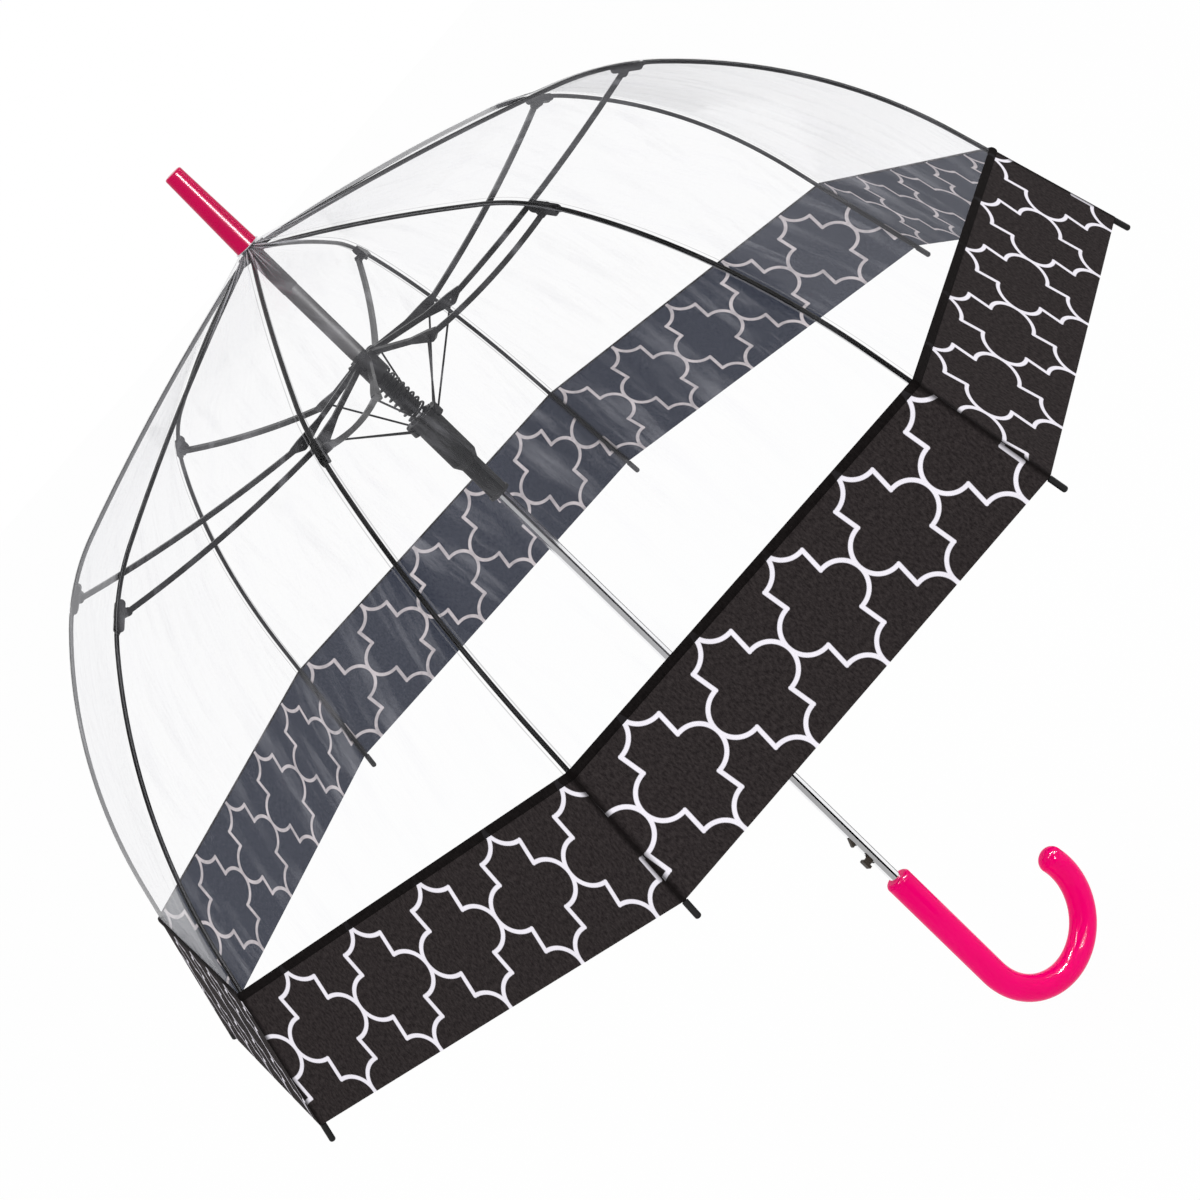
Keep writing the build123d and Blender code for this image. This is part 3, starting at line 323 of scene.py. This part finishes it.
def trellis(t, along, down):
    """1 on the print's lines. Semicircles of one radius, joined by short upright strokes."""
    x = t.math("PINGPONG", t.minus(t.times(along, MM), PRINT_START), PRINT_PERIOD / 2)
    y = t.math("PINGPONG", t.times(down, MM), PRINT_ROW)
    beside = t.minus(x, LOBE)

    def arc(centre_y, side_left_out):
        dy = t.minus(y, centre_y)
        radius = t.math("SQRT", t.plus(t.times(beside, beside), t.times(dy, dy)))
        left_out = t.math(side_left_out, beside, 0.0)
        return t.plus(t.gap(radius, LOBE), t.times(left_out, OUT_OF_REACH))

    past = t.larger(t.minus(LOBE, y), t.minus(y, PRINT_ROW - LOBE))
    past = t.larger(past, 0.0)
    slanted = t.plus(beside, t.times(t.minus(y, PRINT_ROW / 2), STROKE_SLANT))
    stroke = t.math("SQRT", t.plus(t.times(slanted, slanted), t.times(past, past)))
    arcs = t.math("MINIMUM", arc(0.0, "GREATER_THAN"), arc(PRINT_ROW, "LESS_THAN"))
    near = t.math("MINIMUM", arcs, stroke)
    return t.ramp(near, PRINT_LINE / 2 - LINE_SOFTNESS, PRINT_LINE / 2 + LINE_SOFTNESS, 1.0, 0.0)


def stitches(t, along, down):
    """1 on the stitches of the hem at the rim."""
    from_line = t.gap(t.times(down, MM), BORDER_MM - HEM_MM)
    dash = t.math("GREATER_THAN", t.math("FRACT", t.times(along, STITCHES)), STITCH_GAP)
    return t.times(t.ramp(from_line, *STITCH_EDGE, 1.0, 0.0), dash)


def printed_cloth(name, ground, worn, line, faded):
    """Woven cloth with the print. Faded is the part of the ink that has gone, in patches."""
    material = bpy.data.materials.new(name)
    t = Tree(material)
    sheet = t.uv("sheet")
    along, down, _ = t.parts(sheet)
    mottle = t.noise(t.scaled(sheet, MOTTLE_STRETCH), *MOTTLE)
    weft, warp = (t.add("ShaderNodeTexWave", {"Vector": sheet, "Scale": WEAVE_SCALE},
                        bands_direction=axis).outputs[1] for axis in "XY")
    cloth = t.mix(t.ramp(mottle, *MOTTLE_BAND), rgba(ground), rgba(worn))
    patches = t.noise(sheet, *INK_PATCHES)
    ink = t.times(trellis(t, along, down), t.ramp(patches, *INK_BAND, 1.0, 1.0 - faded))
    from_rib = t.times(t.parts(t.uv("rib"))[0], MM)
    # Painted shade: cloth and print go dark next to each rib, as the shade in the crease that the rib
    # presses in
    crease_shade = t.ramp(from_rib, CREASE_SHADE_MM * CREASE_SHADE_CORE, CREASE_SHADE_MM, CREASE_SHADE_DARKNESS, 0.0)
    height = t.plus(t.times(weft, warp), t.times(mottle, MOTTLE_HEIGHT))
    height = t.minus(height, t.times(stitches(t, along, down), STITCH_DEPTH))
    t.finish(t.principled(
        Base_Color=t.mix(crease_shade, t.mix(ink, cloth, rgba(line)), rgba(CREASE_SHADE_COLOUR)),
        Roughness=CLOTH_ROUGHNESS, Specular_IOR_Level=CLOTH_GLOSS,
        Normal=t.bump(height, *CLOTH_BUMP)))
    return material


film_material = clear_film()
cloth_outside = printed_cloth("printed_cloth", (0.014, 0.011, 0.0115), (0.040, 0.033, 0.033),
                              (0.86, 0.83, 0.90), 0.06)
cloth_inside = printed_cloth("printed_cloth_inside", (0.028, 0.034, 0.053),
                             (0.062, 0.069, 0.095), (0.72, 0.66, 0.68), 0.40)
hem_cloth = printed_cloth("hem_cloth", (0.004, 0.003, 0.003), (0.010, 0.008, 0.008),
                          (0.020, 0.018, 0.020), 1.0)

# ---- Finishes of the CAD nodes, by the record's slot and then by node ----
SLOT_FINISHES = {"chrome": chrome, "steel_wire": wire_steel, "black_steel": black_steel,
                 "black_plastic": black_plastic, "pink_plastic": pink_plastic,
                 "magenta_plastic": magenta_plastic, "clear_film": film_material}
NODE_FINISHES = {"stop_tube": tube_plastic, "crown": tube_plastic,
                 "release_lever": lever_paint, "top_washer": clear_washer()}
NODE_SHARP_ANGLE = radians(32)

for part in frame["record"]["subparts"]:
    finish = SLOT_FINISHES.get(part["material_slot"])
    if finish and part["node"] not in CANOPY_NODES:
        mesh = nodes[part["node"]].data
        mesh.materials.clear()
        mesh.materials.append(finish)
for name, finish in NODE_FINISHES.items():
    nodes[name].data.materials[0] = finish
for node in nodes.values():
    if node.name not in CANOPY_NODES:
        for polygon in node.data.polygons:
            polygon.use_smooth = True
        node.data.set_sharp_from_angle(angle=NODE_SHARP_ANGLE)


# ---- The rib's run, repeated from the CAD: radius, height and downward slope ----
def along_arc(start, radius, turn):
    r, z, slope = start
    old, new = radians(slope), radians(slope + turn)
    return (r + radius * (sin(new) - sin(old)), z + radius * (cos(new) - cos(old)), slope + turn)


def along_line(start, length):
    r, z, slope = start
    return (r + length * cos(radians(slope)), z - length * sin(radians(slope)), slope)


def lifted(station, distance):
    r, z, slope = station
    return (r + distance * sin(radians(slope)), z + distance * cos(radians(slope)))


CROWN_BEND_RADIUS = 1.900
CROWN_BEND = 7.0
SHOULDER_BEND_RADIUS = 0.183
SHOULDER_BEND_TO_JOINT = 18.4
SHOULDER_BEND_AFTER_JOINT = 5.1
SIDE_BEND_RADIUS = 0.410
SIDE_BEND = 29.5
SKIRT_TO_SEAM = 0.028
BORDER = BORDER_MM / MM

PIVOT = (0.0086, 0.6697, 12.5)
SHOULDER_START = along_arc(PIVOT, CROWN_BEND_RADIUS, CROWN_BEND)
RIB_JOINT = along_arc(SHOULDER_START, SHOULDER_BEND_RADIUS, SHOULDER_BEND_TO_JOINT)
SHOULDER_END = along_arc(RIB_JOINT, SHOULDER_BEND_RADIUS, SHOULDER_BEND_AFTER_JOINT)
SKIRT_START = along_arc(SHOULDER_END, SIDE_BEND_RADIUS, SIDE_BEND)
SEAM = along_line(SKIRT_START, SKIRT_TO_SEAM)
SEAM_CHORD = 2 * SEAM[0] * HALF_CHORD

# ---- Lines of the sheets, as radius and height, from the crown down ----
FILM_OFF = 0.00235               # film over the rib's axis
CLOTH_OFF = 0.0024               # and the cloth's outer face
CLOTH_THICKNESS = 0.0005
FILM_HOLE = (0.0071, 0.6744)     # radius and height of the film's edge at the crown
COLLAR_RUN = 0.034               # free film between the crown and its first touch on a rib
COLLAR_STEPS, CROWN_STEPS, SHOULDER_STEPS = 5, 16, 10
JOINT_STEPS, SIDE_STEPS, BORDER_STEPS, HEM_STEPS = 4, 22, 12, 8
HEM_START, HEM_WIDTH = -0.0016, 0.0062  # strip over the seam, from just above it
HEM_ROUND = 0.0014               # how far the strip stands out at its middle


def arc_line(start, radius, turn, steps, first=0):
    """The film's line over one arc of the rib, from the first step on."""
    return [lifted(along_arc(start, radius, turn * i / steps), FILM_OFF)
            for i in range(first, steps + 1)]


first_touch = along_arc(PIVOT, CROWN_BEND_RADIUS, degrees(COLLAR_RUN / CROWN_BEND_RADIUS))
on_crown_bend = arc_line(first_touch, CROWN_BEND_RADIUS, SHOULDER_START[2] - first_touch[2],
                         CROWN_STEPS)
collar = [(FILM_HOLE[0] + (on_crown_bend[0][0] - FILM_HOLE[0]) * i / COLLAR_STEPS,
           FILM_HOLE[1] + (on_crown_bend[0][1] - FILM_HOLE[1]) * i / COLLAR_STEPS)
          for i in range(COLLAR_STEPS)]
UPPER_RUN = (collar + on_crown_bend
             + arc_line(SHOULDER_START, SHOULDER_BEND_RADIUS, SHOULDER_BEND_TO_JOINT,
                        SHOULDER_STEPS, 1))
LOWER_RUN = (arc_line(RIB_JOINT, SHOULDER_BEND_RADIUS, SHOULDER_BEND_AFTER_JOINT, JOINT_STEPS)
             + arc_line(SHOULDER_END, SIDE_BEND_RADIUS, SIDE_BEND, SIDE_STEPS, 1)
             + [lifted(SEAM, FILM_OFF)])
BORDER_RUN = [lifted(along_line(SEAM, BORDER * i / BORDER_STEPS), CLOTH_OFF)
              for i in range(BORDER_STEPS + 1)]
HEM_RUN = [lifted(along_line(SEAM, HEM_START + HEM_WIDTH * i / HEM_STEPS),
                  CLOTH_OFF + HEM_ROUND * sin(pi * i / HEM_STEPS) ** 0.5)
           for i in range(HEM_STEPS + 1)]


def run_lengths(run):
    total = [0.0]
    for a, b in zip(run, run[1:]):
        total.append(total[-1] + hypot(b[0] - a[0], b[1] - a[1]))
    return total


# ---- Canopy: each gore is two halves, from a rib to the middle between two ribs ----
ACROSS = 14                      # faces across a half gore
BELLY = 0.004                    # film's sag between two ribs
CLOTH_SHARP_ANGLE = radians(40)

# Folded frame: the share of a half gore's width that is left as a pleat, and how many degrees
# the fold leans from straight across its rib to along the gore. A long sheet stays on its rib
# with little lean.
FOLD_UPPER, FOLD_LOWER, FOLD_BORDER = (0.09, 0.0), (0.12, 14.0), (0.10, 22.5)

# Film by the rib's rod: its line, how far below the crown it starts, and its fold
FILM_PARTS = {"upper": (UPPER_RUN, 0.0, FOLD_UPPER),
              "lower": (LOWER_RUN, run_lengths(UPPER_RUN)[-1], FOLD_LOWER)}


def film_belly(row, rows):
    return BELLY * sin(pi * row / (rows - 1))


def no_belly(row, rows):
    return 0.0


def radial(angle):
    return Vector((cos(radians(angle)), sin(radians(angle)), 0))


def gore_point(own, other, r, z, part, belly):
    """A point of the gore at a part of the way from one rib's plane to the other's."""
    here = radial(own) * r + (radial(other) - radial(own)) * r * part
    inward = -radial((own + other) / 2)
    return here + inward * belly * sin(pi * part) ** 2 + Vector((0, 0, z))


def half_gore(name, run, own, other, material, belly_at, from_start, down=0.0):
    """Sheet from one rib to the middle of the gore. Down is how far below the crown it starts."""
    lengths = [down + length for length in run_lengths(run)]
    points, layout, beside = [], [], []
    for row, (r, z) in enumerate(run):
        chord = (radial(other) - radial(own)).length * r
        for column in range(ACROSS + 1):
            part = 0.5 * column / ACROSS
            points.append(gore_point(own, other, r, z, part, belly_at(row, len(run))))
            from_middle = (0.5 - part) * chord
            layout.append((-from_middle if from_start else from_middle, lengths[row]))
            beside.append((part * chord, lengths[row]))
    faces = []
    width = ACROSS + 1
    for row in range(len(run) - 1):
        for column in range(ACROSS):
            a = row * width + column
            quad = (a, a + 1, a + width + 1, a + width)
            faces.append(quad if from_start else quad[::-1])
    piece = mesh_piece(name, points, faces, material)
    for layer_name, places in (("sheet", layout), ("rib", beside)):
        layer = piece.data.uv_layers.new(name=layer_name)
        for loop in piece.data.loops:
            layer.data[loop.index].uv = places[loop.vertex_index]
    return piece


def shift_layout(piece):
    """Counts the cloth's layout from the gore's left corner."""
    for entry in piece.data.uv_layers["sheet"].data:
        entry.uv = (entry.uv[0] + SEAM_CHORD / 2, entry.uv[1])


def thicken(piece, inner_material, outward):
    """Gives the cloth its thickness and an inner face with the print's paler back."""
    mesh = piece.data
    mesh.materials.append(inner_material)
    outer = [vertex.co.copy() for vertex in mesh.vertices]
    normals = [vertex.normal.copy() for vertex in mesh.vertices]
    count = len(outer)
    side = 1.0 if sum(n.dot(outward) for n in normals) > 0 else -1.0
    inner = [co - n * side * CLOTH_THICKNESS for co, n in zip(outer, normals)]
    quads = [tuple(p.vertices) for p in mesh.polygons]
    layouts = {layer.name: {loop.vertex_index: layer.data[loop.index].uv.copy()
                            for loop in mesh.loops}
               for layer in mesh.uv_layers}
    edges = {}
    for quad in quads:
        for a, b in zip(quad, quad[1:] + quad[:1]):
            edges[frozenset((a, b))] = None if frozenset((a, b)) in edges else (a, b)
    rim = [pair for pair in edges.values() if pair]
    faces = quads + [tuple(count + v for v in quad[::-1]) for quad in quads]
    faces += [(b, a, count + a, count + b) for a, b in rim]
    solid = bpy.data.meshes.new(piece.name)
    solid.from_pydata(outer + inner, [], faces)
    for name, layout in layouts.items():
        layer = solid.uv_layers.new(name=name)
        for loop in solid.loops:
            layer.data[loop.index].uv = layout[loop.vertex_index % count]
    for index, polygon in enumerate(solid.polygons):
        polygon.use_smooth = index < 2 * len(quads)
        polygon.material_index = 1 if len(quads) <= index < 2 * len(quads) else 0
    solid.set_sharp_from_angle(angle=CLOTH_SHARP_ANGLE)
    for material in mesh.materials:
        solid.materials.append(material)
    piece.data = solid


def fold_up(piece, body):
    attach(piece, body)
    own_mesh(piece)


def add_film(kind, index, label, own, other, from_start):
    """Half a gore of film on one rod of a rib."""
    run, down, fold = FILM_PARTS[kind]
    body = f"rib_{kind}_{index}"
    film = half_gore(f"film_{kind}_{label}", run, own, other, film_material, film_belly,
                     from_start, down)
    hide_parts("canopy_clear")
    fold_up(film, body)


def add_border(index, label, own, other, from_start):
    """Half a gore of the cloth border, with the strip that is folded over its seam."""
    body = f"rib_lower_{index}"
    cloth = half_gore(f"border_{label}", BORDER_RUN, own, other, cloth_outside, no_belly,
                      from_start)
    shift_layout(cloth)
    thicken(cloth, cloth_inside, radial((own + other) / 2))
    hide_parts("canopy_border")
    fold_up(cloth, body)
    hem = half_gore(f"hem_{label}", HEM_RUN, own, other, hem_cloth, no_belly, from_start)
    shift_layout(hem)
    fold_up(hem, body)


for index in range(RIBS):
    own = FIRST_RIB + index * SECTOR
    for side, step in (("a", 1), ("b", -1)):
        half = (f"{index + 1}{side}", own, own + step * SECTOR, step == -1)
        add_film("upper", index + 1, *half)
        add_film("lower", index + 1, *half)
        add_border(index + 1, *half)


# ---- Main spring: the same wound wire, carried by the lower runner ----
SPRING_RADIUS = 0.0081
SPRING_WIRE = 0.0009             # the wire's radius
SPRING_TURNS = 17
SPRING_LOW, SPRING_HIGH = 0.46230, 0.54460
TURN_STEPS = 28
WIRE_SIDES = 10


def wound_spring():
    points, faces = [], []
    count = SPRING_TURNS * TURN_STEPS
    for i in range(count + 1):
        angle = 2 * pi * i / TURN_STEPS
        z = SPRING_LOW + (SPRING_HIGH - SPRING_LOW) * i / count
        out = Vector((cos(angle), sin(angle), 0))
        centre = out * SPRING_RADIUS + Vector((0, 0, z))
        for j in range(WIRE_SIDES):
            around = 2 * pi * j / WIRE_SIDES
            spoke = out * cos(around) + Vector((0, 0, 1)) * sin(around)
            points.append(centre + spoke * SPRING_WIRE)
    for i in range(count):
        for j in range(WIRE_SIDES):
            a, b = i * WIRE_SIDES + j, i * WIRE_SIDES + (j + 1) % WIRE_SIDES
            faces.append((a, b, b + WIRE_SIDES, a + WIRE_SIDES))
    faces.append(tuple(range(WIRE_SIDES))[::-1])
    faces.append(tuple(count * WIRE_SIDES + j for j in range(WIRE_SIDES)))
    return mesh_piece("spring_wire", points, faces, black_steel)


spring = wound_spring()
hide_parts("main_spring")
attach(spring, "lower_runner")
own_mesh(spring)

# ---- Studio: white surround and floor, two soft lamps, four highlights, three cards ----
WHITE = (1.0, 1.0, 1.0, 1.0)
SURROUND_LIGHT = 0.74            # the surround's light on the object. It is seen as white, 1
FLOOR_PALE = (0.90, 0.90, 0.90, 1.0)
FLOOR_WHITE = 0.97               # the floor is seen as this much plain white
FLOOR_HALF = 8.0
FLOOR_Z = -0.20
CARD_DISTANCE = 0.35
CARD_LOW, CARD_HIGH = -0.19, 0.62


def seen(t):
    """1 for rays from the camera, off gloss and through clear material, and 0 for others."""
    path = t.add("ShaderNodeLightPath").outputs
    return t.larger(t.larger(path["Is Camera Ray"], path["Is Glossy Ray"]),
                    path["Is Transmission Ray"])


def lamp(name, place, target, size, power, shines_on=(), along=None):
    """Area lamp. With shines_on it only adds a highlight, and only to those CAD pieces."""
    light = bpy.data.lights.new(name, "AREA")
    light.shape = "RECTANGLE"
    light.size, light.size_y = size
    light.energy = power
    holder = bpy.data.objects.new(name, light)
    if shines_on:
        holder.visible_diffuse = False
        linked = bpy.data.collections.new(name)
        for node in shines_on:
            linked.objects.link(nodes[node])
        holder.light_linking.receiver_collection = linked
        holder.light_linking.blocker_collection = linked
    scene.collection.objects.link(holder)
    holder.location = place
    aim = Vector(target) - Vector(place)
    holder.rotation_mode = "QUATERNION"
    if along:
        back = -aim.normalized()
        across = back.cross(Vector(along)).normalized()
        turn = Matrix((across.cross(back), across, back)).transposed().to_quaternion()
    else:
        turn = aim.to_track_quat("-Z", "Y")
    holder.rotation_quaternion = turn


def card(name, azimuth, width, shade):
    """Tall card that only gloss shows. It draws a band down the chrome."""
    middle = radial(azimuth) * CARD_DISTANCE
    half = Vector((-sin(radians(azimuth)), cos(radians(azimuth)), 0)) * width / 2
    corners = [middle + side * half + Vector((0, 0, height))
               for side, height in ((-1, CARD_LOW), (1, CARD_LOW), (1, CARD_HIGH), (-1, CARD_HIGH))]
    paint = bpy.data.materials.new(name)
    t = Tree(paint)
    t.finish(t.add("ShaderNodeEmission", {"Color": rgba([shade] * 3)}).outputs[0])
    holder = mesh_piece(name, corners, [(0, 1, 2, 3)], paint, smooth=False)
    holder.visible_camera = False
    holder.visible_diffuse = False
    holder.visible_transmission = False
    holder.visible_shadow = False


def white_surround():
    world = bpy.data.worlds.new("studio")
    t = Tree(world)
    strength = t.ramp(seen(t), 0.0, 1.0, SURROUND_LIGHT, 1.0)
    surround = t.add("ShaderNodeBackground", {"Color": WHITE, "Strength": strength}).outputs[0]
    t.add("ShaderNodeOutputWorld", {"Surface": surround})
    scene.world = world


def white_floor():
    paint = bpy.data.materials.new("floor_paint")
    t = Tree(paint)
    pale = t.add("ShaderNodeBsdfDiffuse", {"Color": FLOOR_PALE}).outputs[0]
    white = t.add("ShaderNodeEmission", {"Color": WHITE, "Strength": 1.0}).outputs[0]
    whiteness = t.times(seen(t), FLOOR_WHITE)
    t.finish(t.add("ShaderNodeMixShader", {0: whiteness, 1: pale, 2: white}).outputs[0])
    corners = [(x * FLOOR_HALF, y * FLOOR_HALF, FLOOR_Z)
               for x, y in ((-1, -1), (1, -1), (1, 1), (-1, 1))]
    mesh_piece("floor", corners, [(0, 1, 2, 3)], paint, smooth=False)


white_surround()
lamp("key", place=(-1.4, -2.2, 2.4), target=(0, 0, 0.3), size=(0.5, 1.6), power=34.0)
lamp("fill", place=(2.4, -1.0, 1.2), target=(0, 0, 0.3), size=(0.4, 1.4), power=14.0)
lamp("overhead", place=(-0.20, -0.53, 2.20), target=(0.07, 0, -0.16), size=(1.2, 0.3),
     power=110.0, shines_on=("grip", "stop_tube"))
lamp("glint", place=(0.40, -2.16, 0.60), target=(0, 0, 0.60), size=(0.5, 1.2),
     power=380.0, shines_on=("ferrule",))
lamp("sheen", place=(0.40, -2.16, 0.60), target=(0, 0, 0.60), size=(0.35, 1.2),
     power=150.0, shines_on=("grip", "stop_tube"))
lamp("bend", place=(1.11, -0.78, 1.36), target=(0.05, 0, -0.15), size=(2.0, 0.26),
     power=480.0, shines_on=("grip",), along=(0.56, -0.46, -0.69))
card("card_dark", azimuth=-88.0, width=0.24, shade=0.0)
card("card_edge", azimuth=16.0, width=0.14, shade=0.0)
card("card_grey", azimuth=-150.0, width=0.62, shade=0.42)
white_floor()
